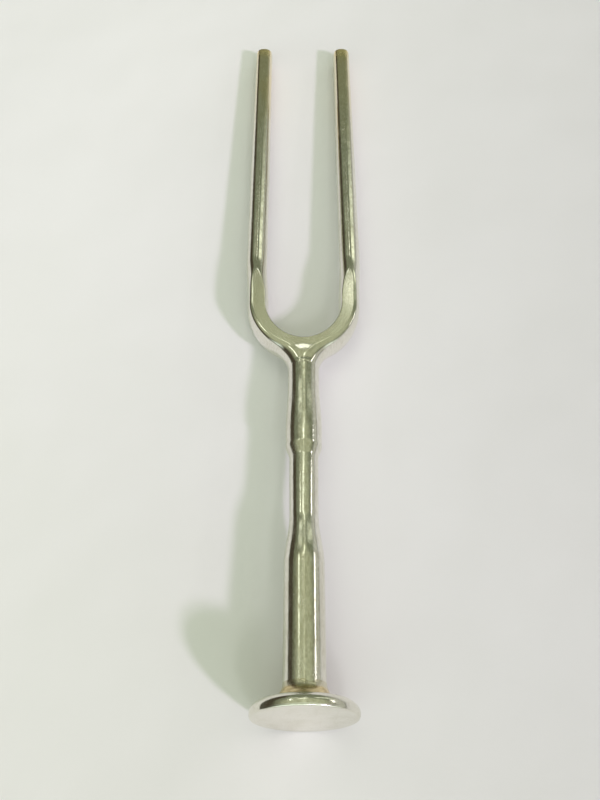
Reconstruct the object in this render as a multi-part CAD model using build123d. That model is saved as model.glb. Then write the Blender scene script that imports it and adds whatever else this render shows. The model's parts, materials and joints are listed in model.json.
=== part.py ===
from build123d import *
import os

os.makedirs("parts", exist_ok=True)

# Tuning fork with a foot, lying along +Y.
# The origin is the centre of the foot's flat contact face; X runs across the prongs.

# Overall
fork_length = 186.0  # foot face to prong tips
stem_length = 74.5  # foot face to the seam between stem and yoke
foot_diameter = 19.6

# Prongs
tine_spread = 22.3  # between the prongs' centre lines
tine_width = 4.9  # across the gap, the direction of vibration
tine_depth = 5.8
root_slit = 0.05  # clearance at the hinge line that lets each prong turn
tip_break = 0.12  # chamfer round the square-cut tips

# Yoke: a U bend whose centre line is half an ellipse, with straight legs above it
bend_rise = 17.5  # seam to the centre of the ellipse
bend_drop = 12.2  # centre of the ellipse to the bottom of the centre line
bend_spread = 21.1  # between the legs' centre lines where the bend begins
leg_length = 16.0  # centre of the ellipse to the hinge line
bar_width = 4.85
flat_height = 0.3  # each ground flat above the prong's surface
ground_away = 1.0  # forged metal ground off each side of the bar

# Neck boss: spreads from the round neck into the bottom of the bend
neck_diameter = 6.8
collar_rise = 0.9
collar_flare = 0.55
collar_dip = 0.45
gusset_rise = 4.3
gusset_flare = 6.3
gusset_dip = 1.0
gusset_top_rise = 6.0
gusset_top_flare = 9.9
gusset_top_dip = 1.3

# Stem: lengths of the grip are from the foot face, those of the neck from the seam
stem_diameter = 7.9
grip_length = 28.5
shoulder_length = 10.0
waist_diameter = 5.8
waist_end_diameter = 6.0
step_length = 2.8
bulge_start = 19.9
bulge_start_diameter = 7.5
bulge_middle = 16.0
bulge_diameter = 7.65
taper_end = 4.0
taper_diameter = 6.85

# Spigots that join the stem to the yoke and to the foot
yoke_spigot_diameter = 4.0
socket_roof = 1.7  # metal left between the socket and the gap of the fork
foot_spigot_diameter = 5.0
foot_floor = 0.9  # metal left between the blind hole and the contact face
end_clearance = 0.1

# Foot
foot_thickness = 2.4
rim_bulge = 0.75  # height of the rim's widest circle above the contact face
back_inset = 0.9  # the back edge inside the widest circle
edge_break = 0.25  # small chamfer round the contact face

# Braze fillet in the corner between the stem and the foot
braze_height = 3.6
braze_reach = 2.4
braze_lip = 0.12

# Where things meet
bend_centre_y = stem_length + bend_rise
tine_root_y = bend_centre_y + leg_length
flat_thickness = tine_depth + 2 * flat_height
bar_depth = flat_thickness + 2 * ground_away
socket_depth = bend_rise - bend_drop + bar_width / 2 - socket_roof


def oval(x, y, width, depth):
    """An upright elliptical section facing along Y."""
    section_plane = Plane(origin=(x, y, 0), x_dir=(1, 0, 0), z_dir=(0, 1, 0))
    return section_plane * Ellipse(width / 2, depth / 2)


def rod(y, diameter, length):
    """A round bar on the axis, starting at y and running towards the tips."""
    base_first = (Align.CENTER, Align.CENTER, Align.MIN)
    return Pos(0, y, 0) * Rot(-90, 0, 0) * Cylinder(diameter / 2, length, align=base_first)


def turned(outline):
    """A solid of revolution; the outline is a chain of (radius, y) corners and curves."""
    edges = []
    last = outline[0]
    for item in outline[1:] + outline[:1]:
        start = item if isinstance(item, tuple) else tuple(item @ 0)[:2]
        if (Vector(*last) - Vector(*start)).length > 1e-6:
            edges.append(Line(last, start))
        last = start
        if not isinstance(item, tuple):
            edges.append(item)
            last = tuple(item @ 1)[:2]
    return revolve(make_face(edges), axis=Axis.Y)


def write(shape, name):
    """Label one piece and save it under its own node name."""
    shape.label = name
    export_step(shape, "parts/" + name + ".step")


def bend_line():
    """The centre line of the U bend, from the left leg round to the right."""
    centre = (0, bend_centre_y)
    return EllipticalCenterArc(centre, bend_spread / 2, bend_drop, start_angle=180, arc_size=180)


def build_tine(side):
    """A straight oval bar with a square-cut, lightly broken tip."""
    root_y = tine_root_y + root_slit / 2
    root = oval(side * tine_spread / 2, root_y, tine_width, tine_depth)
    bar = extrude(root, amount=fork_length - root_y)
    tip_edges = bar.edges().group_by(Axis.Y)[-1]
    return chamfer(tip_edges, tip_break)


def build_leg(side):
    """From the end of the bend up to the hinge line, slimming to the prong's oval."""
    length = leg_length - root_slit / 2
    sections = []
    for step in (0, 0.12, 0.4, 0.7, 0.9, 1):
        share = step * step * (3 - 2 * step)
        spread = bend_spread + (tine_spread - bend_spread) * share
        width = bar_width + (tine_width - bar_width) * share
        depth = bar_depth + (tine_depth - bar_depth) * share
        sections.append(oval(side * spread / 2, bend_centre_y + length * step, width, depth))
    return loft(sections)


def build_gusset():
    """The boss that spreads from the round neck into the bend, kept out of the gap."""
    sections = [oval(0, stem_length, neck_diameter, neck_diameter)]
    for rise, flare, dip in (
        (collar_rise, collar_flare, collar_dip),
        (gusset_rise, gusset_flare, gusset_dip),
        (gusset_top_rise, gusset_top_flare, gusset_top_dip),
    ):
        sections.append(oval(0, stem_length + rise, neck_diameter + flare, neck_diameter - dip))
    centre_line = bend_line()
    gap = make_face([centre_line, Line(centre_line @ 1, centre_line @ 0)])
    return loft(sections) - extrude(gap, amount=bar_depth, both=True)


def build_yoke():
    """Bend, legs and gusset in one piece, with a flat ground on the front and the back."""
    forged = sweep(oval(-bend_spread / 2, bend_centre_y, bar_width, bar_depth), path=bend_line())
    forged = forged + build_leg(-1) + build_leg(1) + build_gusset()
    ground_length = tine_root_y - stem_length
    between_flats = Pos(0, stem_length + ground_length / 2, 0) * Box(
        2 * tine_spread, ground_length, flat_thickness
    )
    neck_left_round = rod(stem_length, 2 * neck_diameter, gusset_rise / 2)
    ground = forged & (between_flats + neck_left_round)
    return ground - rod(stem_length, yoke_spigot_diameter, socket_depth)


def build_stem():
    """One turned piece: spigot, grip, shoulder, slim waist, step, bulge, neck, spigot."""
    along = ((0, 1), (0, 1))
    stem_r = stem_diameter / 2
    foot_spigot_r = foot_spigot_diameter / 2
    yoke_spigot_r = yoke_spigot_diameter / 2
    bottom_y = foot_floor + end_clearance
    top_y = stem_length + socket_depth - end_clearance
    bulge_start_y = stem_length - bulge_start
    shoulder = Spline(
        (stem_r, grip_length),
        (waist_diameter / 2, grip_length + shoulder_length),
        tangents=along,
    )
    step = Spline(
        (waist_end_diameter / 2, bulge_start_y - step_length),
        (bulge_start_diameter / 2, bulge_start_y),
        tangents=along,
    )
    bulge = Spline(
        (bulge_start_diameter / 2, bulge_start_y),
        (bulge_diameter / 2, stem_length - bulge_middle),
        (taper_diameter / 2, stem_length - taper_end),
        (neck_diameter / 2, stem_length),
    )
    return turned(
        [
            (0, bottom_y),
            (foot_spigot_r, bottom_y),
            (foot_spigot_r, foot_thickness),
            (stem_r, foot_thickness),
            shoulder,
            step,
            bulge,
            (yoke_spigot_r, stem_length),
            (yoke_spigot_r, top_y),
            (0, top_y),
        ]
    )


def build_foot():
    """A disc with a bulging rim, a flat contact face and a blind hole for the stem."""
    foot_r = foot_diameter / 2
    hole_r = foot_spigot_diameter / 2
    rim_start_r = foot_r - edge_break / 2
    back_r = foot_r - back_inset
    rim = Spline(
        (rim_start_r, edge_break),
        (foot_r, rim_bulge),
        (back_r, foot_thickness),
        tangents=((edge_break / 2, rim_bulge - edge_break), (0, 1), (-1, 1)),
    )
    return turned(
        [
            (0, 0),
            (rim_start_r - edge_break, 0),
            rim,
            (hole_r, foot_thickness),
            (hole_r, foot_floor),
            (0, foot_floor),
        ]
    )


def build_braze():
    """A concave fillet ring in the corner between stem and foot."""
    stem_r = stem_diameter / 2
    rim_r = stem_r + braze_reach
    top_y = foot_thickness + braze_height
    hollow = Spline(
        (rim_r, foot_thickness + braze_lip),
        (stem_r + braze_lip, top_y),
        tangents=((-1, braze_lip), (-braze_lip, 1)),
    )
    return turned([(stem_r, foot_thickness), (rim_r, foot_thickness), hollow, (stem_r, top_y)])


write(build_tine(-1), "left_tine")
write(build_tine(1), "right_tine")
write(build_yoke(), "yoke")
write(build_stem(), "stem")
write(build_foot(), "foot")
write(build_braze(), "foot_braze")
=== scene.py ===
import json
import math

import bmesh
import bpy
import numpy as np
from bpy.props import FloatProperty, FloatVectorProperty, PointerProperty
from mathutils import Matrix, Vector


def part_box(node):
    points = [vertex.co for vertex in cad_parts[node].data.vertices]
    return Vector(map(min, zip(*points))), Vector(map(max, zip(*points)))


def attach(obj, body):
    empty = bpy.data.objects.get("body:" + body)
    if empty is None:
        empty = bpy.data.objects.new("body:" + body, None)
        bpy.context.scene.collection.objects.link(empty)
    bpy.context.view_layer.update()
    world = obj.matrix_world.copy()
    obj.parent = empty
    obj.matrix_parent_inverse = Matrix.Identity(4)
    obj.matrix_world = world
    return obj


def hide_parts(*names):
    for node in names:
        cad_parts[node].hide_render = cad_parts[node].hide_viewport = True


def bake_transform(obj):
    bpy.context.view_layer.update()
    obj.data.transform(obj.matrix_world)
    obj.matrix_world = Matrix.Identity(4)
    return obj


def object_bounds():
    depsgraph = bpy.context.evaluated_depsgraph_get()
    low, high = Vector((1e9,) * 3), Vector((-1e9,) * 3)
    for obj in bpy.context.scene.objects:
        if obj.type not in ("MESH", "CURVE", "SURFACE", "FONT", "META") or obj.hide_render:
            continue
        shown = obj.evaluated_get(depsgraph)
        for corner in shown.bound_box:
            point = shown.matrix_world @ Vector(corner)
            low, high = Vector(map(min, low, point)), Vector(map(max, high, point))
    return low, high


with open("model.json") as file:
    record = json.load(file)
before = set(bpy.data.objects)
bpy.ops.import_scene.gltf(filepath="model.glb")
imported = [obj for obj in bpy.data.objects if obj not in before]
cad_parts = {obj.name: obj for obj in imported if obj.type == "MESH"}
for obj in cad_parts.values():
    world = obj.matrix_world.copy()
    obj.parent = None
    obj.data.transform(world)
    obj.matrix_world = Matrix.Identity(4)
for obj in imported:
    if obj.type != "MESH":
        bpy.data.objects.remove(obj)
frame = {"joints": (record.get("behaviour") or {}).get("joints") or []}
CAD_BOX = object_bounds()

bl_info = {
    "name": "Footed tuning fork",
    "version": (1, 0, 0),
    "blender": (4, 5, 0),
    "location": "3D View > Sidebar > Tuning fork",
    "description": "Builds a plated steel tuning fork with a round foot, and a plain stage for it",
    "category": "Add Mesh",
}

MM = 0.001
HANDLE = "handle"
PRONGS = {-1: ("left_tine", "left_prong"), 1: ("right_tine", "right_prong")}
JOINTS = {joint["child"]: joint for joint in frame["joints"]}


def node_size(node):
    """The length of a CAD node along X, Y and Z."""
    low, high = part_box(node)
    return high - low


ROOT = Vector(JOINTS["right_prong"]["pos_m"])
FORK_LENGTH = CAD_BOX[1].y
SEAM_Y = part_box("yoke")[0].y
FOOT_RADIUS = node_size("foot").x / 2
FOOT_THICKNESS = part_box("foot")[1].y
STEM_RADIUS = node_size("stem").x / 2
PRONG_WIDTH = node_size("right_tine").x
PRONG_DEPTH = node_size("right_tine").z

RIM_WIDEST = 0.32  # height at which the foot's rim is widest, as a share of its thickness
RIM_INSET = 0.08 * MM  # how far the foot's face stays inside its widest radius
GUSSET_POWER = 1.75  # the gusset's section, between a diamond (power 1) and an oval (power 2)
BAND_TOP = 4.9 * MM  # height above the seam where the dressed band begins, on the axis
BAND_WIDTH = 1.7 * MM  # how far down the gusset it goes
BAND_SLANT = 0.16  # how much lower it begins towards the right, for each unit across
BAND_REACH = 4 * MM  # how far out from the axis it goes on slanting
TARNISH_LENGTH = 4.5 * MM  # tarnished length of a prong's end
SHEET_LIFT, TABLE_LIFT = -0.02 * MM, -0.5 * MM  # from the plane that the fork rests on
STAGE_MIDDLE = Vector((0, 70 * MM, 0))  # what the lamps face
HORIZON = 0.05  # the least upward share (z) that a direction in the room is divided by

# Where the light of each far window begins and ends, by direction: along the fork (y), and by sideways lean
# (x over z). Each edge is a pair of values, the first in the dark and the second in full light.
WINDOWS = (
    (((0.640, 0.665), (0.765, 0.70)), ((0.40, 0.55), (2.4, 1.6))),
    (((0.600, 0.615), (0.670, 0.655)), ((-0.2, -0.3), (-0.9, -0.7))),
)

# Name, place from the stage's middle, direction of the long side, size, colour and power in watts.
LAMPS = (
    ("front_lamp", (1.26, -1.5, 1.2), (1, 1, 0), (0.18, 0.18), (0.92, 0.74, 1.0), 23.0),
    ("near_lamp", (0.4, -1.4, 1.25), (1, 0, 0), (0.24, 0.24), (1.0, 0.97, 0.98), 3.0),
    ("ceiling_fill", (-0.3, 0.4, 2.0), (1, 0, 0), (1.3, 1.3), (1.0, 0.985, 0.985), 4.2),
    ("top_tube", (-0.02, 0.02, 1.0), (0, 1, 0), (0.76, 0.07), (1.0, 1.04, 0.80), 0.06),
    ("middle_tube", (0.03, 0.60, 1.0), (0.06, 0.16, 0), (0.18, 0.055), (1.0, 1.06, 0.85), 0.055),
    ("turned_tube", (-0.12, 0.47, 1.0), (0.24, 0.11, 0), (0.25, 0.06), (1.0, 1.05, 0.90), 0.07),
    ("left_tube", (-0.56, 0.40, 1.0), (0, 1, 0), (0.26, 0.05), (1.0, 1.06, 0.90), 0.12),
    ("crescent_lamp", (-0.005, 0.995, 1.0), (1, 0, 0), (0.10, 0.05), (1.0, 1.02, 0.90), 0.038),
    ("arch_lamp", (0.11, 0.88, 1.0), (1, 0, 0), (0.06, 0.05), (1.0, 1.02, 0.88), 0.0125),
    ("right_window", (0.95, 0.36, 0.54), (0, 1, 0), (0.36, 0.07), (1.0, 0.98, 0.95), 0.40),
)
UNREFLECTED_LAMP = "ceiling_fill"  # lights the sheet, and doesn't show in the metal


def length(name, about, default):
    """A length property in metres."""
    return FloatProperty(name=name, description=about, default=default, unit="LENGTH", precision=5)


def share(name, about, default):
    """A plain factor from 0 to 1."""
    return FloatProperty(name=name, description=about, default=default, min=0, max=1, subtype="FACTOR")


def tint(name, about, default):
    """A linear colour."""
    return FloatVectorProperty(name=name, description=about, default=default, size=3, min=0, subtype="COLOR")


class ForkShape(bpy.types.PropertyGroup):
    """Sizes of the fork's surfaces that the frame doesn't state."""

    bend_rise: length("Bend rise", "Seam to the centre of the bend's ellipse", 17.5 * MM)
    bend_drop: length("Bend drop", "Centre of the ellipse to the bottom of the centre line", 12.2 * MM)
    bend_half_spread: length("Bend half spread", "Axis to the leg where the bend begins", 10.55 * MM)
    bar_half_width: length("Bar half width", "Half the bar's width round the bend", 2.42 * MM)
    run_out: length("Run-out", "Bend's centre to where the forged bar has slimmed to the prong", 13.8 * MM)
    flat_height: length("Flat", "Height of the ground flat above the middle plane", 3.2 * MM)
    dressing_slope: share("Dressing slope", "Slope of the narrow dressed band under the flat", 0.068)
    ridge_slope: share("Ridge slope", "Slope of the gusset's ridge from that band to the neck", 0.036)
    crest_bottom: length("Crest at the bottom", "Forged half depth at the bottom of the bend", 3.8 * MM)
    crest_leg: length("Crest at the leg", "Forged half depth where the bend begins", 4.4 * MM)
    neck_radius: length("Neck radius", "Round neck at the end of the stem's taper", 3.4 * MM)
    seam_radius: length("Seam radius", "Neck at the seam, where it has begun to spread", 3.44 * MM)
    gusset_slope: share("Gusset slope", "How fast the gusset spreads at the seam", 0.14)
    gusset_flare: length("Gusset flare", "How much more it has spread at its top", 3.0 * MM)
    gusset_rise: length("Gusset rise", "Height over which the gusset spreads", 5.5 * MM)
    gusset_crest: share("Gusset crest", "How fast the gusset's uncut crest climbs from the seam", 0.26)
    grip_end: length("Grip end", "Foot face to the shoulder", 28.5 * MM)
    waist_start: length("Waist start", "Foot face to the top of the shoulder", 38.5 * MM)
    waist_radius: length("Waist radius", "Radius of the slim waist", 2.9 * MM)
    waist_end: length("Waist end", "Foot face to the step", 51.8 * MM)
    waist_end_radius: length("Waist end radius", "Radius under the step", 3.0 * MM)
    bulge_start: length("Bulge start", "Foot face to the top of the step", 54.6 * MM)
    bulge_start_radius: length("Bulge start radius", "Radius at the top of the step", 3.75 * MM)
    bulge: length("Bulge", "Foot face to the widest part of the neck", 58.5 * MM)
    bulge_radius: length("Bulge radius", "Widest radius of the neck", 3.825 * MM)
    taper_end: length("Taper end", "Foot face to the end of the neck's taper", 70.5 * MM)
    braze_height: length("Braze height", "How far the braze climbs the stem", 3.6 * MM)
    braze_reach: length("Braze reach", "How far the braze spreads on the foot", 2.35 * MM)


class ForkFinish(bpy.types.PropertyGroup):
    """Colours and finishes of the fork."""

    plate: tint("Plate", "Bright nickel plate", (0.85, 0.83, 0.76))
    plate_worn: tint("Worn plate", "Plate where handling has dulled it", (0.68, 0.65, 0.54))
    tip_tarnish: tint("Tip tarnish", "Yellow bloom and tarnish towards the cut tips", (0.92, 0.76, 0.42))
    braze: tint("Braze", "Tarnished brazing brass", (0.80, 0.67, 0.40))
    braze_dark: tint("Dark braze", "Flux stain in the corner", (0.46, 0.35, 0.18))
    polish: share("Polish", "Roughness of the plate at its brightest", 0.115)


class StageSetting(bpy.types.PropertyGroup):
    """The sheet, the lights and the camera."""

    paper: tint("Paper", "Pale matt sheet", (0.805, 0.80, 0.82))
    table: tint("Table", "Dark table under the sheet", (0.07, 0.065, 0.05))
    room: tint("Room", "Light from the half of the room beyond the fork", (0.45, 0.48, 0.315))
    room_near: tint("Near room", "Light from the half of the room behind the camera", (1.13, 1.29, 1.14))
    room_dark: tint("Dark side", "The unlit side of the room", (0.07, 0.06, 0.04))
    window: tint("Windows", "Light from the two far windows", (1.2, 1.27, 0.97))
    room_right: tint("Right side", "Low light on the right", (0.50, 0.51, 0.44))
    backdrop: tint("Backdrop", "Plain backdrop behind the floor", (0.72, 0.73, 0.69))
    lens: FloatProperty(name="Lens", description="Focal length in millimetres", default=38.78)
    pitch: FloatProperty(
        name="Pitch", description="Camera below the horizon", default=math.radians(56.7), subtype="ANGLE"
    )
    yaw: FloatProperty(name="Yaw", description="Camera turned to the left", default=0.0, subtype="ANGLE")
    stand: FloatVectorProperty(
        name="Stand",
        description="Where the camera stands",
        default=(-0.8 * MM, -35.8 * MM, 155.5 * MM),
        size=3,
        unit="LENGTH",
    )


# ---------------------------------------------------------------- mesh helpers


def smoothstep(t):
    """0 below 0, 1 above 1, and three t squared less two t cubed between."""
    t = np.clip(t, 0, 1)
    return t * t * (3 - 2 * t)


def soft_clip(t, k=0.25):
    """t held between 0 and 1, with both corners rounded from k before them to k after them."""
    low = np.where(t < -k, 0, np.where(t > k, t, (t + k) ** 2 / (4 * k)))
    return 1 - np.where(1 - low < -k, 0, np.where(1 - low > k, 1 - low, (1 - low + k) ** 2 / (4 * k)))


def soft_min(a, b, k):
    """The smaller of a and b, less a quarter of (k - |a - b|) squared over k where they are closer than k."""
    near = np.maximum(k - np.abs(a - b), 0)
    return np.minimum(a, b) - near * near / (4 * k)


def soft_max(a, b, k):
    """The larger of a and b, rounded over as soft_min does it."""
    return -soft_min(-a, -b, k)


def grid_faces(rows, columns, start=0, wrap=False):
    """Corner numbers of the quads of a grid of points, stored row by row.

    The points are counted from start, and wrap joins the last column to the first.
    """
    row, column = np.meshgrid(np.arange(rows - 1), np.arange(columns if wrap else columns - 1), indexing="ij")
    here, below = row * columns, (row + 1) * columns
    after = (column + 1) % columns
    quads = np.stack([here + column, here + after, below + after, below + column], -1)
    return quads.reshape(-1, 4) + start


def make_object(name, points, faces, body, nodes, material, sharp_angle=40):
    """A closed mesh from points and faces, that replaces CAD nodes and rides on a body if one is given.

    Doubles are merged, holes capped and normals turned outward. It is smooth but for edges sharper than the
    angle, in degrees.
    """
    mesh = bpy.data.meshes.new(name)
    mesh.from_pydata(points.tolist(), [], faces.tolist())
    work = bmesh.new()
    work.from_mesh(mesh)
    bmesh.ops.remove_doubles(work, verts=work.verts, dist=1e-7)
    bmesh.ops.dissolve_degenerate(work, edges=work.edges, dist=1e-8)
    rims = [edge for edge in work.edges if edge.is_boundary]
    if rims:
        bmesh.ops.holes_fill(work, edges=rims, sides=0)
    bmesh.ops.recalc_face_normals(work, faces=work.faces)
    work.to_mesh(mesh)
    work.free()
    mesh.shade_smooth()
    mesh.set_sharp_from_angle(angle=math.radians(sharp_angle))
    mesh.materials.append(material)
    piece = bpy.data.objects.new(name, mesh)
    bpy.context.scene.collection.objects.link(piece)
    if body:
        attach(piece, body)
    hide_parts(*nodes)
    return piece


def turned_points(profile, segments, wobble=None):
    """Rings of points round the Y axis: radius r at height y, plus the wobble, a change of r with the angle."""
    angle = np.linspace(0, 2 * math.pi, segments, endpoint=False)
    r = profile[:, :1] * np.ones(segments)
    y = profile[:, 1:] * np.ones(segments)
    if wobble is not None:
        r = r + wobble(angle[None, :], profile[:, 1:])
    return np.stack([r * np.cos(angle), y, r * np.sin(angle)], -1).reshape(-1, 3)


def turned_object(name, profile, around, nodes, material, wobble=None):
    """A turned piece of the handle, from its profile and the number of points round it."""
    points = turned_points(profile, around, wobble)
    faces = grid_faces(len(profile), around, wrap=True)
    return make_object(name, points, faces, HANDLE, nodes, material)


def arc(centre, radius, start, end, count):
    """Points on a circle in (radius, y) from one angle to another, in degrees."""
    a = np.radians(np.linspace(start, end, count))
    return np.stack([centre[0] + radius * np.cos(a), centre[1] + radius * np.sin(a)], -1)


# ---------------------------------------------------------------- surfaces


def bar_station(shape, x, y):
    """Where a point lies on the bent bar.

    Gives its signed distance from the bar's centre line, the bar's half depth there, the angle round the bend
    from its bottom, and whether the point is above the bend.

    Above the bend the centre line is X = half spread + smoothstep(height) times the prongs' extra spread, and
    the distance is |x| less X. In the bend it is an ellipse, and the nearest point on it is found by Newton's
    method on its angle. The half depth goes from the crest at the bottom to the crest at the leg, then slims to
    the prong's.
    """
    centre_y = SEAM_Y + shape.bend_rise
    ax, ay = shape.bend_half_spread, shape.bend_drop
    x = np.abs(x)
    up = y - centre_y
    slim = smoothstep(up / shape.run_out)
    leg_distance = x - (ax + (ROOT.x - ax) * slim)
    leg_depth = shape.crest_leg + (PRONG_DEPTH / 2 - shape.crest_leg) * slim
    down = np.minimum(up, -1e-9)
    angle = np.arctan2(x / ax, -down / ay)
    stretch = ax * ax - ay * ay
    for _ in range(12):
        sine, cosine = np.sin(angle), np.cos(angle)
        slope = stretch * sine * cosine - x * ax * cosine - down * ay * sine
        rate = stretch * np.cos(2 * angle) + x * ax * sine - down * ay * cosine
        angle = np.clip(angle - slope / rate, 0, math.pi / 2)
    gap = np.hypot(x - ax * np.sin(angle), down + ay * np.cos(angle))
    outside = np.sign((x / ax) ** 2 + (down / ay) ** 2 - 1)
    round_bend = smoothstep(angle / (math.pi / 2))
    bend_depth = shape.crest_bottom + (shape.crest_leg - shape.crest_bottom) * round_bend
    in_leg = up >= 0
    distance = np.where(in_leg, leg_distance, outside * gap)
    return distance, np.where(in_leg, leg_depth, bend_depth), angle, in_leg


def yoke_field(shape, x, y, z):
    """Below 0 inside the yoke, above 0 outside it, in metres.

    The bar is the oval (distance / half width) squared + (z / half depth) squared = 1 round its centre line.
    The gusset is the section |x / width| to the power 1.75 plus |z / crest| to the same power = 1. Its width
    grows from the neck's circle with height and height squared, its crest with height. The two run together
    softly. A flat cuts both. It is level on the bend, climbs in a narrow dressed band under it, and then climbs
    less steeply to the neck. It is rounded more on the outer side of the bend than on the inner.
    """
    distance, depth, angle, in_leg = bar_station(shape, x, y)
    above = y - SEAM_Y
    slim = smoothstep((above - shape.bend_rise) / shape.run_out)
    half_width = shape.bar_half_width + (PRONG_WIDTH / 2 - shape.bar_half_width) * slim
    bar = (np.hypot(distance / half_width, z / depth) - 1) * half_width

    spread_end, gusset_end = 1.3 * shape.gusset_rise, 1.2 * shape.gusset_rise
    up = np.clip(above, 0, spread_end)
    width = shape.seam_radius + shape.gusset_slope * up + shape.gusset_flare * (up / shape.gusset_rise) ** 2
    crest = shape.seam_radius + shape.gusset_crest * np.minimum(up, shape.gusset_rise)
    section = (np.abs(x / width) ** GUSSET_POWER + np.abs(z / crest) ** GUSSET_POWER) ** (1 / GUSSET_POWER)
    # The gusset ends on the gap's side of the centre line, and a little above its own rise.
    gusset = (section - 1) * crest + 4 * np.maximum(-distance, 0)
    gusset = gusset + 2 * np.maximum(above - gusset_end, 0)
    merge = 0.6 * MM
    body = soft_min(bar, gusset, merge)

    # The flat's edge is rounded, in millimetres, by the inner amount, on the outer side by the second too, and
    # at the bottom of the bend by the third.
    inner_edge, outer_edge, bottom_edge = 0.1, 0.5, 0.3
    bottom_angle, outer_start, fade_length = 1.2, 0.6 * half_width, 0.8 * shape.run_out
    outer = smoothstep(distance / outer_start)
    low = 1 - smoothstep(angle / bottom_angle)
    fade = 1 - smoothstep((above - shape.bend_rise) / fade_length)
    rounding = (inner_edge + (outer_edge + bottom_edge * low) * outer * np.where(in_leg, fade, 1)) * MM

    under = SEAM_Y + BAND_TOP - y - BAND_SLANT * np.clip(x, -BAND_REACH, BAND_REACH)
    band = BAND_WIDTH * soft_clip(under / BAND_WIDTH)
    ridge = np.maximum(under - BAND_WIDTH, 0)
    flat = shape.flat_height + shape.dressing_slope * band + shape.ridge_slope * ridge
    # It lifts clear of the neck just above the seam.
    clearance, fade_out = 0.3 * MM, 1.2 * MM
    flat = flat + clearance * (1 - smoothstep(above / fade_out))
    return soft_max(body, np.abs(z) - flat, rounding)


def zero_between(field, low, high, steps=44):
    """Halves the interval between low and high until it closes on the place where a rising field is 0."""
    for _ in range(steps):
        middle = (low + high) / 2
        inside = field(middle) < 0
        low = np.where(inside, middle, low)
        high = np.where(inside, high, middle)
    return (low + high) / 2


def yoke_points(shape, bend_rows=120, leg_rows=44, half_columns=46):
    """The yoke's front as a grid of points, from the left root round the bend to the right root.

    Each row is a rib that crosses the bar from the gap's wall through the centre line to the outer wall. Near
    the axis the ribs fan down to the seam. Points are closest together at both walls, as the sine of their
    share. Their height is where the yoke's field is 0.
    """
    centre_y = SEAM_Y + shape.bend_rise
    ax, ay = shape.bend_half_spread, shape.bend_drop
    angle = np.linspace(0, math.pi / 2, bend_rows)
    up = np.linspace(0, ROOT.y - centre_y, leg_rows + 1)[1:]
    slim = smoothstep(up / shape.run_out)
    base = np.concatenate(
        [
            np.stack([ax * np.sin(angle), centre_y - ay * np.cos(angle)], -1),
            np.stack([ax + (ROOT.x - ax) * slim, centre_y + up], -1),
        ]
    )
    normal = np.concatenate(
        [np.stack([np.sin(angle) / ax, -np.cos(angle) / ay], -1), np.tile([1.0, 0.0], (leg_rows, 1))]
    )
    normal /= np.linalg.norm(normal, axis=1, keepdims=True)
    half_width = np.concatenate(
        [
            np.full(bend_rows, shape.bar_half_width),
            shape.bar_half_width + (PRONG_WIDTH / 2 - shape.bar_half_width) * slim,
        ]
    )[:, None]
    inner = base - normal * half_width
    # The ribs that end on the seam, and then those that turn back to the bend's own normal.
    seam_angle, normal_angle = 0.22, 1.0
    rib_angle = np.concatenate([angle, np.full(leg_rows, math.pi / 2)])
    seam_share = np.minimum(rib_angle / seam_angle, 1)
    seam_end = np.stack([shape.seam_radius * seam_share, np.full_like(rib_angle, SEAM_Y)], -1)
    corner = int(np.searchsorted(angle, seam_angle))
    down = (seam_end[corner] - base[corner]) / np.linalg.norm(seam_end[corner] - base[corner])
    turn = smoothstep((rib_angle - seam_angle) / (normal_angle - seam_angle))[:, None]
    direction = down * (1 - turn) + normal * turn
    direction /= np.linalg.norm(direction, axis=1, keepdims=True)

    def outline(reach):
        point = base + direction * reach[:, None]
        return yoke_field(shape, point[:, 0], point[:, 1], 0.0)

    nearest, farthest, highest = 1.2 * MM, 8 * MM, 6 * MM
    reach = zero_between(outline, np.full(len(base), nearest), np.full(len(base), farthest))
    outer = np.where((rib_angle < seam_angle)[:, None], seam_end, base + direction * reach[:, None])
    spacing = np.sin(np.linspace(-math.pi / 2, math.pi / 2, 2 * half_columns + 1))[None, :, None]
    reach_across = np.where(spacing < 0, (base - inner)[:, None], (outer - base)[:, None])
    across = base[:, None] + reach_across * spacing
    x, y = across[..., 0], across[..., 1]
    height = zero_between(lambda z: yoke_field(shape, x, y, z), np.zeros_like(x), np.full_like(x, highest))
    # Points on the walls themselves lie in the middle plane.
    height = np.where(yoke_field(shape, x, y, 0.0) >= -1e-9, 0.0, height)
    height[:, 0] = 0
    height[rib_angle >= seam_angle, -1] = 0
    half = np.stack([x, y, height], -1)
    mirrored = half[:0:-1] * np.array([-1.0, 1.0, 1.0])
    return np.concatenate([mirrored, half])


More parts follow.
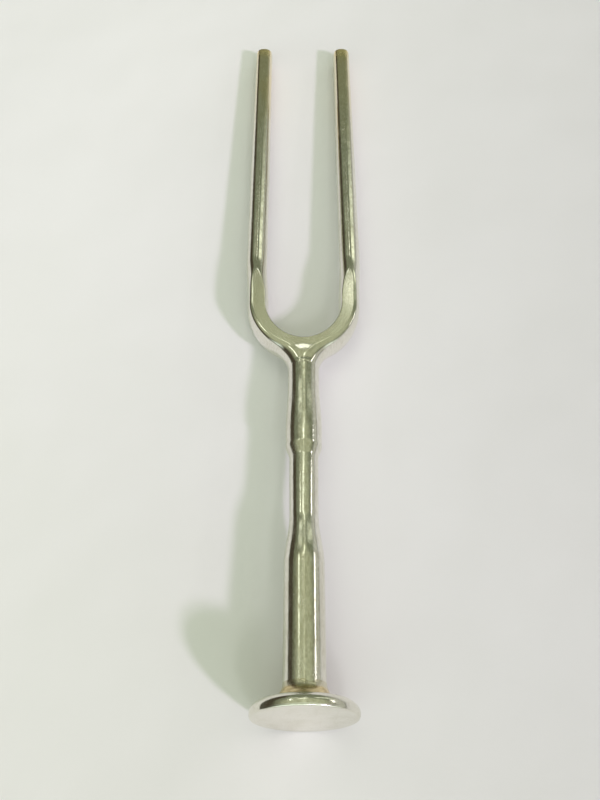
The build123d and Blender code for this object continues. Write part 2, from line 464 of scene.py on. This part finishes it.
def prong_points(side, rings=110, around=128):
    """Rings of the prong's oval from the root to the tip, whose edge is rounded over a quarter circle.

    A ring is a squared oval: x = half width times cosine to the power 2 / p, z = half depth times sine to the
    same power. p is 2 at the root, 2.15 above it, and 2.65 at the tip, where the prong is 7 percent slimmer.
    Both half sizes lose the edge's setback, which is the edge radius times one less the cosine of the angle
    gone round the edge.
    """
    edge = 0.12 * MM
    root_change, tip_start, tip_change = 30 * MM, 50 * MM, 40 * MM
    root_squaring, tip_squaring, tip_slimming = 0.15, 0.5, 0.07
    turn = np.linspace(0, math.pi / 2, 9)[1:]
    shaft = np.linspace(ROOT.y, FORK_LENGTH - edge, rings)
    y = np.concatenate([shaft, FORK_LENGTH - edge + edge * np.sin(turn)])
    setback = np.concatenate([np.zeros(rings), edge * (1 - np.cos(turn))])
    angle = np.linspace(0, 2 * math.pi, around, endpoint=False)
    above_root = smoothstep((y - ROOT.y) / root_change)
    towards_tip = smoothstep((y - FORK_LENGTH + tip_start) / tip_change)
    squareness = 2 + root_squaring * above_root + tip_squaring * towards_tip
    power = (2 / squareness)[:, None]
    half_width = PRONG_WIDTH / 2 * (1 - tip_slimming * towards_tip)
    cosine, sine = np.cos(angle), np.sin(angle)
    x = side * ROOT.x + (half_width - setback)[:, None] * np.sign(cosine) * np.abs(cosine) ** power
    z = (PRONG_DEPTH / 2 - setback)[:, None] * np.sign(sine) * np.abs(sine) ** power
    points = np.stack([x, y[:, None] * np.ones(around), z], -1).reshape(-1, 3)
    return points, grid_faces(len(y), around, wrap=True)


def stem_profile(shape):
    """(radius, y) up the stem: straight grip, shoulder, waist, step, bulge and a taper to the seam.

    From the grip's end to the taper's end the radius goes from each stated one to the next by a smoothstep.
    Then it spreads to the seam's as the height squared. A shallow groove marks the seam, on a bell curve.
    """
    grip = np.linspace(FOOT_THICKNESS, shape.grip_end, 60)
    y = np.concatenate([grip, np.linspace(shape.grip_end, SEAM_Y, 260)[1:]])
    shoulder = smoothstep((y - shape.grip_end) / (shape.waist_start - shape.grip_end))
    r = STEM_RADIUS + (shape.waist_radius - STEM_RADIUS) * shoulder
    waist = smoothstep((y - shape.waist_start) / (shape.waist_end - shape.waist_start))
    r = r + (shape.waist_end_radius - shape.waist_radius) * waist
    step = smoothstep((y - shape.waist_end) / (shape.bulge_start - shape.waist_end))
    r = r + (shape.bulge_start_radius - shape.waist_end_radius) * step
    swell = smoothstep((y - shape.bulge_start) / (shape.bulge - shape.bulge_start))
    r = r + (shape.bulge_radius - shape.bulge_start_radius) * swell
    taper = smoothstep((y - shape.bulge) / (shape.taper_end - shape.bulge))
    r = r + (shape.neck_radius - shape.bulge_radius) * taper
    spread_out = np.maximum((y - shape.taper_end) / (SEAM_Y - shape.taper_end), 0) ** 2
    r = r + (shape.seam_radius - shape.neck_radius) * spread_out
    groove_depth, groove_width = 0.02 * MM, 0.12 * MM
    groove = groove_depth * np.exp(-(((y - SEAM_Y) / groove_width) ** 2))
    return np.stack([r - groove, y], -1)


def foot_profile():
    """(radius, y) across the foot: flat face, a small broken edge, a rim on a curve, and the flat back.

    The rim is widest about a third of the way up. It pulls in towards the back as the height above that to the
    power 2.4, and towards the face as the depth below it squared.
    """
    edge, draw_in = 0.32 * MM, 0.95 * MM
    widest = RIM_WIDEST * FOOT_THICKNESS
    up = np.linspace(0, 1, 26)[1:]
    rim_y = edge + (FOOT_THICKNESS - edge) * up
    above = np.maximum(rim_y - widest, 0) / (FOOT_THICKNESS - widest)
    below = np.maximum(widest - rim_y, 0) / widest
    rim_r = FOOT_RADIUS - draw_in * above**2.4 - RIM_INSET * below**2
    face_radius = FOOT_RADIUS - RIM_INSET - edge
    face = np.stack([np.linspace(0, face_radius, 30), np.zeros(30)], -1)
    broken = arc((face_radius, edge), edge, -90, 0, 8)[1:]
    back = np.stack([np.linspace(rim_r[-1], 0, 24)[1:], np.full(23, FOOT_THICKNESS)], -1)
    return np.concatenate([face, broken, np.stack([rim_r, rim_y], -1), back])


def braze_profile(shape):
    """(radius, y) round the fillet's section, closed: up the hollow side, and down inside the stem and foot.

    The hollow is a parabola: it stands off the stem by its reach times the square of the share of height left.
    """
    left = np.linspace(1, 0, 30)
    lip, sunk = 0.012 * MM, 0.3 * MM
    r = STEM_RADIUS + lip + shape.braze_reach * left**2
    y = FOOT_THICKNESS + lip + (shape.braze_height - lip) * (1 - left)
    foot_in = [[r[0], FOOT_THICKNESS - sunk]]
    inside = [[STEM_RADIUS - sunk, y[-1]], [STEM_RADIUS - sunk, FOOT_THICKNESS - sunk]]
    return np.concatenate([foot_in, np.stack([r, y], -1), inside, foot_in])


def braze_flow(angle, y):
    """The metal has flowed unevenly: three slow waves round the stem, none where the section is sunk."""
    rise = smoothstep((y - FOOT_THICKNESS) / (0.5 * MM))
    waves = np.sin(3 * angle + 0.7) + 0.6 * np.sin(7 * angle + 2.1) + 0.4 * np.sin(13 * angle)
    return 0.03 * MM * rise * waves


# ---------------------------------------------------------------- materials


def scaled(colour, factor):
    """A colour times one number, or times one for each channel."""
    return tuple(np.multiply(tuple(colour), factor).tolist())


class NodeTree:
    """A small helper that adds and joins the nodes of one tree, on one kind of coordinates."""

    def __init__(self, tree, coordinates):
        self.nodes, self.links = tree.nodes, tree.links
        self.nodes.clear()
        self.place = self.nodes.new("ShaderNodeTexCoord").outputs[coordinates]

    def join(self, start, end):
        self.links.new(start, end)

    def put(self, socket, value):
        """Set a socket to a number or colour, or join it to another node's output."""
        if isinstance(value, bpy.types.NodeSocket):
            self.join(value, socket)
        else:
            socket.default_value = value

    def axis(self, name):
        """One coordinate: metres in an object's own frame, or a share of a direction in the world's."""
        node = self.nodes.new("ShaderNodeSeparateXYZ")
        self.join(self.place, node.inputs["Vector"])
        return node.outputs[name]

    def noise(self, stretch, detail=3.0, rough=0.5):
        """Smooth noise from 0 to 1, on coordinates multiplied along each axis; 1000 counts in millimetres."""
        stretched = self.nodes.new("ShaderNodeMapping")
        stretched.inputs["Scale"].default_value = stretch
        self.join(self.place, stretched.inputs["Vector"])
        node = self.nodes.new("ShaderNodeTexNoise")
        node.inputs["Scale"].default_value = 1.0
        node.inputs["Detail"].default_value = detail
        node.inputs["Roughness"].default_value = rough
        self.join(stretched.outputs["Vector"], node.inputs["Vector"])
        return node.outputs["Fac"]

    def spread(self, value, low, high, out_low=0.0, out_high=1.0, smooth=True):
        """Stretch the range low to high over out_low to out_high, clamped."""
        node = self.nodes.new("ShaderNodeMapRange")
        node.interpolation_type = "SMOOTHSTEP" if smooth else "LINEAR"
        ends = {"From Min": low, "From Max": high, "To Min": out_low, "To Max": out_high}
        for socket, number in ends.items():
            node.inputs[socket].default_value = number
        self.join(value, node.inputs["Value"])
        return node.outputs["Result"]

    def maths(self, operation, a, b=0.0):
        """One sum on two numbers or outputs."""
        node = self.nodes.new("ShaderNodeMath")
        node.operation = operation
        self.put(node.inputs[0], a)
        self.put(node.inputs[1], b)
        return node.outputs["Value"]

    def times(self, a, b):
        """The product of two numbers or outputs."""
        return self.maths("MULTIPLY", a, b)

    def plus(self, a, b):
        """The sum of two numbers or outputs."""
        return self.maths("ADD", a, b)

    def mix(self, share_of_b, a, b):
        """A colour between a and b."""
        node = self.nodes.new("ShaderNodeMix")
        node.data_type = "RGBA"
        self.put(node.inputs["Factor"], share_of_b)
        for socket, value in ((node.inputs[6], a), (node.inputs[7], b)):
            self.put(socket, value if isinstance(value, bpy.types.NodeSocket) else (*value, 1.0))
        return node.outputs[2]


class Shader(NodeTree):
    """The nodes of one material, on the coordinates of the object."""

    def __init__(self, name):
        self.material = bpy.data.materials.new(name)
        self.material.use_nodes = True
        super().__init__(self.material.node_tree, "Object")
        self.surface = self.nodes.new("ShaderNodeBsdfPrincipled")
        output = self.nodes.new("ShaderNodeOutputMaterial")
        self.join(self.surface.outputs["BSDF"], output.inputs["Surface"])

    def bump(self, height, depth, before=None):
        """Raise the surface by height times depth, in metres, on top of an earlier bump."""
        node = self.nodes.new("ShaderNodeBump")
        node.inputs["Strength"].default_value = 1.0
        node.inputs["Distance"].default_value = depth
        self.join(height, node.inputs["Height"])
        if before is not None:
            self.join(before, node.inputs["Normal"])
        return node.outputs["Normal"]

    def ragged_height(self, noise, reach):
        """The height along the fork, pushed up by noise times reach."""
        return self.plus(self.axis("Y"), self.times(noise, reach))

    def finish(self, colour, rough, normal, metallic):
        """Join the three to the surface, and give the finished material."""
        self.surface.inputs["Metallic"].default_value = metallic
        self.put(self.surface.inputs["Base Color"], colour)
        self.put(self.surface.inputs["Roughness"], rough)
        self.put(self.surface.inputs["Normal"], normal)
        return self.material


def plated_steel(
    name, finish, lines, line_depth, waves, smudges=0.13, grit=0.22, gloss=1.0, tarnish_from=None
):
    """Bright nickel plate over worked steel.

    Colour drifts between bright and worn plate, with fine dark specks. The bump has broad waves left from
    forging, at about a millimetre, finer ones of 0.4 times their depth, and working lines, which are noise
    scaled by the given number on each axis, per millimetre. Roughness rises in faint handling marks. Where the
    prong has a tarnished end, a yellow bloom thickens towards it, and colour and roughness change on top of its
    last few millimetres.
    """
    s = Shader(name)
    wear = s.spread(s.noise((160, 60, 160), 4, 0.6), 0.42, 0.68)
    fine = s.noise(tuple(1000 * line for line in lines), 2, 0.55)
    grime = s.plus(s.times(wear, 0.4), s.spread(fine, 0.45, 0.7, 0.0, 0.55))
    colour = s.mix(grime, finish.plate, finish.plate_worn)
    specks = s.spread(s.noise((2700, 1300, 2700), 2, 0.6), 0.42, 0.62, grit, 0.0)
    colour = s.mix(specks, colour, scaled(finish.plate_worn, 0.66))
    smudge = s.noise((320, 190, 320), 3, 0.55)
    polish = finish.polish * gloss
    rough = s.spread(smudge, 0.35, 0.75, polish, polish + smudges)
    rough = s.plus(rough, s.spread(fine, 0.55, 0.75, 0.0, 0.07))
    if tarnish_from is not None:
        bloom = s.spread(s.axis("Y"), tarnish_from - 42 * MM, tarnish_from - 4 * MM)
        bloom = s.times(bloom, s.spread(wear, 0.0, 1.0, 0.4, 0.62))
        colour = s.mix(bloom, colour, finish.tip_tarnish)
        reach = s.ragged_height(s.noise((700, 700, 700)), 1.6 * MM)
        end = s.spread(reach, tarnish_from, tarnish_from + TARNISH_LENGTH)
        end = s.times(end, s.spread(s.axis("Z"), 1.7 * MM, 2.4 * MM))
        colour = s.mix(s.times(end, 0.8), colour, finish.tip_tarnish)
        rough = s.plus(rough, s.times(end, 0.14))
    normal = s.bump(s.noise((1500, 1050, 1500), 1), waves * MM)
    normal = s.bump(s.noise((2600, 2000, 2600), 1), 0.4 * waves * MM, normal)
    normal = s.bump(fine, line_depth * MM, normal)
    return s.finish(colour, rough, normal, metallic=1.0)


def brazing_brass(finish):
    """Brass that has flowed into the corner, stained by flux, rougher low down and ragged at its upper edge."""
    s = Shader("brazing_brass")
    stain = s.spread(s.noise((900, 1500, 900), 4, 0.6), 0.4, 0.62)
    ragged = s.ragged_height(s.noise((900, 900, 900), 3, 0.6), 1.2 * MM)
    low = s.spread(s.axis("Y"), FOOT_THICKNESS + 0.2 * MM, FOOT_THICKNESS + 2.2 * MM)
    top = s.spread(ragged, FOOT_THICKNESS + 2.7 * MM, FOOT_THICKNESS + 3.4 * MM)
    colour = s.mix(s.times(stain, 0.75), finish.braze, finish.braze_dark)
    colour = s.mix(s.times(top, 0.85), colour, finish.plate_worn)
    normal = s.bump(s.noise((1500, 1500, 1500)), 0.02 * MM)
    return s.finish(colour, s.spread(low, 0, 1, 0.42, 0.26), normal, metallic=1.0)


def matt_sheet(name, colour):
    """A matt surface with a fine grain, faint mottling and slow waves.

    Painted shade darkens it towards the near left corner, and a painted fall of light runs evenly across it,
    from light on the left to dark on the right.
    """
    s = Shader(name)

    def across(per_x, per_y):
        return s.plus(s.times(s.axis("X"), per_x), s.times(s.axis("Y"), per_y))

    mottle = s.noise((22, 22, 22), 4, 0.6)
    shade = s.mix(s.spread(mottle, 0.3, 0.7), scaled(colour, 0.985), scaled(colour, 1.015))
    # Painted shade: the sheet's colour turns darker and greener towards the near left corner.
    corner = s.plus(across(-0.7, -0.7), s.times(s.noise((30, 30, 30), 2), 0.05))
    shade = s.mix(s.spread(corner, -0.03, 0.07), shade, scaled(colour, (0.89, 0.915, 0.83)))
    # Painted light: an even fall of light painted across the sheet, lighter on the left and darker on the
    # right.
    painted_light_drift = s.spread(s.plus(across(-5.6, 1.3), 0.49), 0.0, 1.0, smooth=False)
    shade = s.mix(0.5, shade, s.mix(painted_light_drift, scaled(colour, 0.7), scaled(colour, 1.3)))
    normal = s.bump(s.noise((26, 18, 26), 2), 1.2 * MM)
    normal = s.bump(s.noise((150, 90, 150)), 0.09 * MM, normal)
    normal = s.bump(s.noise((1100, 1100, 1100), 4, 0.65), 0.02 * MM, normal)
    s.surface.inputs["Specular IOR Level"].default_value = 0.25
    return s.finish(shade, 0.85, normal, metallic=0.0)


# ---------------------------------------------------------------- operators


class FORK_OT_yoke(bpy.types.Operator):
    """Forge the yoke: the bend, its legs, the ground flats and the gusset down to the neck"""

    bl_idname = "fork.yoke"
    bl_label = "Yoke"

    def execute(self, context):
        front = yoke_points(context.scene.fork_shape)
        rows, columns = front.shape[:2]
        back = front * np.array([1.0, 1.0, -1.0])
        points = np.concatenate([front.reshape(-1, 3), back.reshape(-1, 3)])
        faces = grid_faces(rows, columns)
        faces_back = grid_faces(rows, columns, start=rows * columns)[:, ::-1]
        faces = np.concatenate([faces, faces_back])
        metal = plated_steel(
            "ground_plate",
            context.scene.fork_finish,
            lines=(3.2, 3.8, 0.6),
            line_depth=0.0009,
            waves=0.0006,
            smudges=0.04,
            grit=0.12,
            gloss=0.85,
        )
        make_object("ground_yoke", points, faces, HANDLE, ["yoke"], metal, sharp_angle=75)
        return {"FINISHED"}


class FORK_OT_prongs(bpy.types.Operator):
    """Draw the two prongs out of the yoke's legs"""

    bl_idname = "fork.prongs"
    bl_label = "Prongs"

    def execute(self, context):
        metal = plated_steel(
            "drawn_plate",
            context.scene.fork_finish,
            lines=(2.4, 0.9, 2.4),
            line_depth=0.008,
            waves=0.0075,
            tarnish_from=FORK_LENGTH - TARNISH_LENGTH,
        )
        for side, (node, body) in PRONGS.items():
            points, faces = prong_points(side)
            piece = make_object(node + "_oval", points, faces, None, [node], metal)
            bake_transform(piece)
        return {"FINISHED"}


class FORK_OT_stem(bpy.types.Operator):
    """Turn the stem: grip, shoulder, slim waist, step and bulging neck"""

    bl_idname = "fork.stem"
    bl_label = "Stem"

    def execute(self, context):
        metal = plated_steel(
            "turned_plate",
            context.scene.fork_finish,
            lines=(1.8, 0.5, 1.8),
            line_depth=0.0055,
            waves=0.006,
            grit=0.2,
        )
        profile = stem_profile(context.scene.fork_shape)
        turned_object("turned_stem", profile, 144, ["stem"], metal)
        return {"FINISHED"}


class FORK_OT_foot(bpy.types.Operator):
    """Make the round foot, with its rounded rim and drawn-in back"""

    bl_idname = "fork.foot"
    bl_label = "Foot"

    def execute(self, context):
        metal = plated_steel(
            "foot_plate",
            context.scene.fork_finish,
            lines=(3.0, 3.0, 3.0),
            line_depth=0.0008,
            waves=0.005,
            grit=0.08,
        )
        turned_object("round_foot", foot_profile(), 192, ["foot"], metal)
        return {"FINISHED"}


class FORK_OT_braze(bpy.types.Operator):
    """Run the fillet of brazing metal round the stem where it meets the foot"""

    bl_idname = "fork.braze"
    bl_label = "Braze fillet"

    def execute(self, context):
        metal = brazing_brass(context.scene.fork_finish)
        profile = braze_profile(context.scene.fork_shape)
        turned_object("braze_fillet", profile, 160, ["foot_braze"], metal, wobble=braze_flow)
        return {"FINISHED"}


def soft_lamp(name, target, direction, along, size, colour, power):
    """An area lamp at target + direction, facing the target, its long side turned along the given vector."""
    lamp = bpy.data.lights.new(name, "AREA")
    lamp.shape = "RECTANGLE"
    lamp.size, lamp.size_y = size
    lamp.color = colour
    lamp.energy = power
    holder = bpy.data.objects.new(name, lamp)
    bpy.context.scene.collection.objects.link(holder)
    back = Vector(direction).normalized()
    side = Vector(along)
    side = (side - side.dot(back) * back).normalized()
    turn = Matrix((side, back.cross(side), back)).transposed().to_4x4()
    holder.matrix_world = Matrix.Translation(target + Vector(direction)) @ turn
    holder.visible_camera = False
    return holder


def light_room(stage):
    """The room's own light, by the direction it comes from.

    It is dim low down beyond the fork, dimmer still far along it on both sides, and darkest low on the left. It
    is brighter behind the camera, and two windows shine beyond the fork. The camera sees a plain backdrop.
    """
    world = bpy.data.worlds.new("soft_room")
    bpy.context.scene.world = world
    world.use_nodes = True
    s = NodeTree(world.node_tree, "Generated")
    x, y, z = s.axis("X"), s.axis("Y"), s.axis("Z")

    def between(value, rise, fall):
        """1 between a rising and a falling edge, 0 beyond them."""
        return s.times(s.spread(value, *rise), s.spread(value, *fall))

    up = s.maths("MAXIMUM", z, HORIZON)
    lean = s.maths("DIVIDE", x, up)
    climb = s.maths("DIVIDE", y, up)
    beyond = s.mix(s.spread(z, 0.45, 0.85), scaled(stage.room, 0.36), stage.room)
    aside = s.spread(s.maths("ABSOLUTE", lean), 0.14, 0.34)
    aside = s.maths("MAXIMUM", aside, s.spread(climb, 0.86, 0.98))
    steep = s.spread(climb, 0.5, 0.8)
    beyond = s.mix(s.times(aside, steep), beyond, scaled(stage.room, (0.44, 0.46, 0.46)))
    low_right = s.times(s.spread(x, 0.35, 0.8), s.spread(z, 0.55, 0.25))
    beyond = s.mix(low_right, beyond, stage.room_right)
    left_rise = s.plus(z, s.times(s.spread(x, -0.52, -0.2), 0.5))
    beyond = s.mix(s.spread(left_rise, 0.34, 0.46), stage.room_dark, beyond)
    for along, across in WINDOWS:
        shape = s.times(between(y, *along), between(lean, *across))
        beyond = s.mix(shape, beyond, stage.window)
    lit = s.mix(s.spread(y, -0.3, -0.75), beyond, stage.room_near)
    seen = s.nodes.new("ShaderNodeLightPath").outputs["Is Camera Ray"]
    background = s.nodes.new("ShaderNodeBackground")
    s.join(s.mix(seen, lit, stage.backdrop), background.inputs["Color"])
    output = s.nodes.new("ShaderNodeOutputWorld")
    s.join(background.outputs["Background"], output.inputs["Surface"])


def lay_flat(name, outline, lift, material):
    """A flat sheet, lifted from the plane that touches the foot's rim and the undersides of the prong tips."""
    rest = Vector((0, RIM_WIDEST * FOOT_THICKNESS, -FOOT_RADIUS))
    tips = Vector((0, FORK_LENGTH, -PRONG_DEPTH / 2))
    slope = (tips.z - rest.z) / (tips.y - rest.y)
    corners = [(x, y, rest.z + lift + slope * (y - rest.y)) for x, y in outline]
    mesh = bpy.data.meshes.new(name)
    mesh.from_pydata(corners, [], [tuple(range(len(corners)))])
    mesh.materials.append(material)
    sheet = bpy.data.objects.new(name, mesh)
    bpy.context.scene.collection.objects.link(sheet)
    return sheet


class FORK_OT_stage(bpy.types.Operator):
    """Lay the paper under the fork, light it softly and set the camera"""

    bl_idname = "fork.stage"
    bl_label = "Stage"

    def execute(self, context):
        stage = context.scene.fork_stage
        near, far, left_near, left_far, right = -0.14, 0.34, -0.058, -0.118, 0.24
        outline = ((left_near, near), (right, near), (right, far), (left_far, far))
        lay_flat("sheet", outline, SHEET_LIFT, matt_sheet("matt_sheet", stage.paper))
        reach = 3.0
        wide = ((-reach, -reach), (reach, -reach), (reach, reach), (-reach, reach))
        table = lay_flat("table", wide, TABLE_LIFT, matt_sheet("dark_table", stage.table))
        table.visible_camera = False
        light_room(stage)
        for name, place, along, size, colour, power in LAMPS:
            lamp = soft_lamp(name, STAGE_MIDDLE, place, along, size, colour, power)
            lamp.visible_glossy = name != UNREFLECTED_LAMP
        camera = bpy.data.cameras.new("camera")
        camera.lens = stage.lens
        camera.sensor_width = 36
        camera.clip_start = 0.005
        holder = bpy.data.objects.new("camera", camera)
        turn = Matrix.Rotation(stage.yaw, 4, "Z") @ Matrix.Rotation(math.pi / 2 - stage.pitch, 4, "X")
        holder.matrix_world = Matrix.Translation(Vector(stage.stand)) @ turn
        context.scene.collection.objects.link(holder)
        context.scene.camera = holder
        context.scene.view_settings.view_transform = "Standard"
        return {"FINISHED"}


class FORK_PT_sidebar(bpy.types.Panel):
    """Lists the fork's sizes and the buttons that build it"""

    bl_label = "Tuning fork"
    bl_idname = "FORK_PT_sidebar"
    bl_space_type = "VIEW_3D"
    bl_region_type = "UI"
    bl_category = "Tuning fork"

    def draw(self, context):
        for group in (context.scene.fork_shape, context.scene.fork_finish, context.scene.fork_stage):
            for name in group.__annotations__:
                self.layout.prop(group, name)
        for operator in OPERATORS:
            self.layout.operator(operator.bl_idname)


GROUPS = (("fork_shape", ForkShape), ("fork_finish", ForkFinish), ("fork_stage", StageSetting))
OPERATORS = (FORK_OT_yoke, FORK_OT_prongs, FORK_OT_stem, FORK_OT_foot, FORK_OT_braze, FORK_OT_stage)


def register():
    for name, group in GROUPS:
        bpy.utils.register_class(group)
        setattr(bpy.types.Scene, name, PointerProperty(type=group))
    for item in (*OPERATORS, FORK_PT_sidebar):
        bpy.utils.register_class(item)


def unregister():
    for item in (FORK_PT_sidebar, *reversed(OPERATORS)):
        bpy.utils.unregister_class(item)
    for name, group in reversed(GROUPS):
        delattr(bpy.types.Scene, name)
        bpy.utils.unregister_class(group)


def main():
    register()
    bpy.ops.fork.yoke()
    bpy.ops.fork.prongs()
    bpy.ops.fork.stem()
    bpy.ops.fork.foot()
    bpy.ops.fork.braze()
    bpy.ops.fork.stage()


if __name__ == "__main__":
    main()
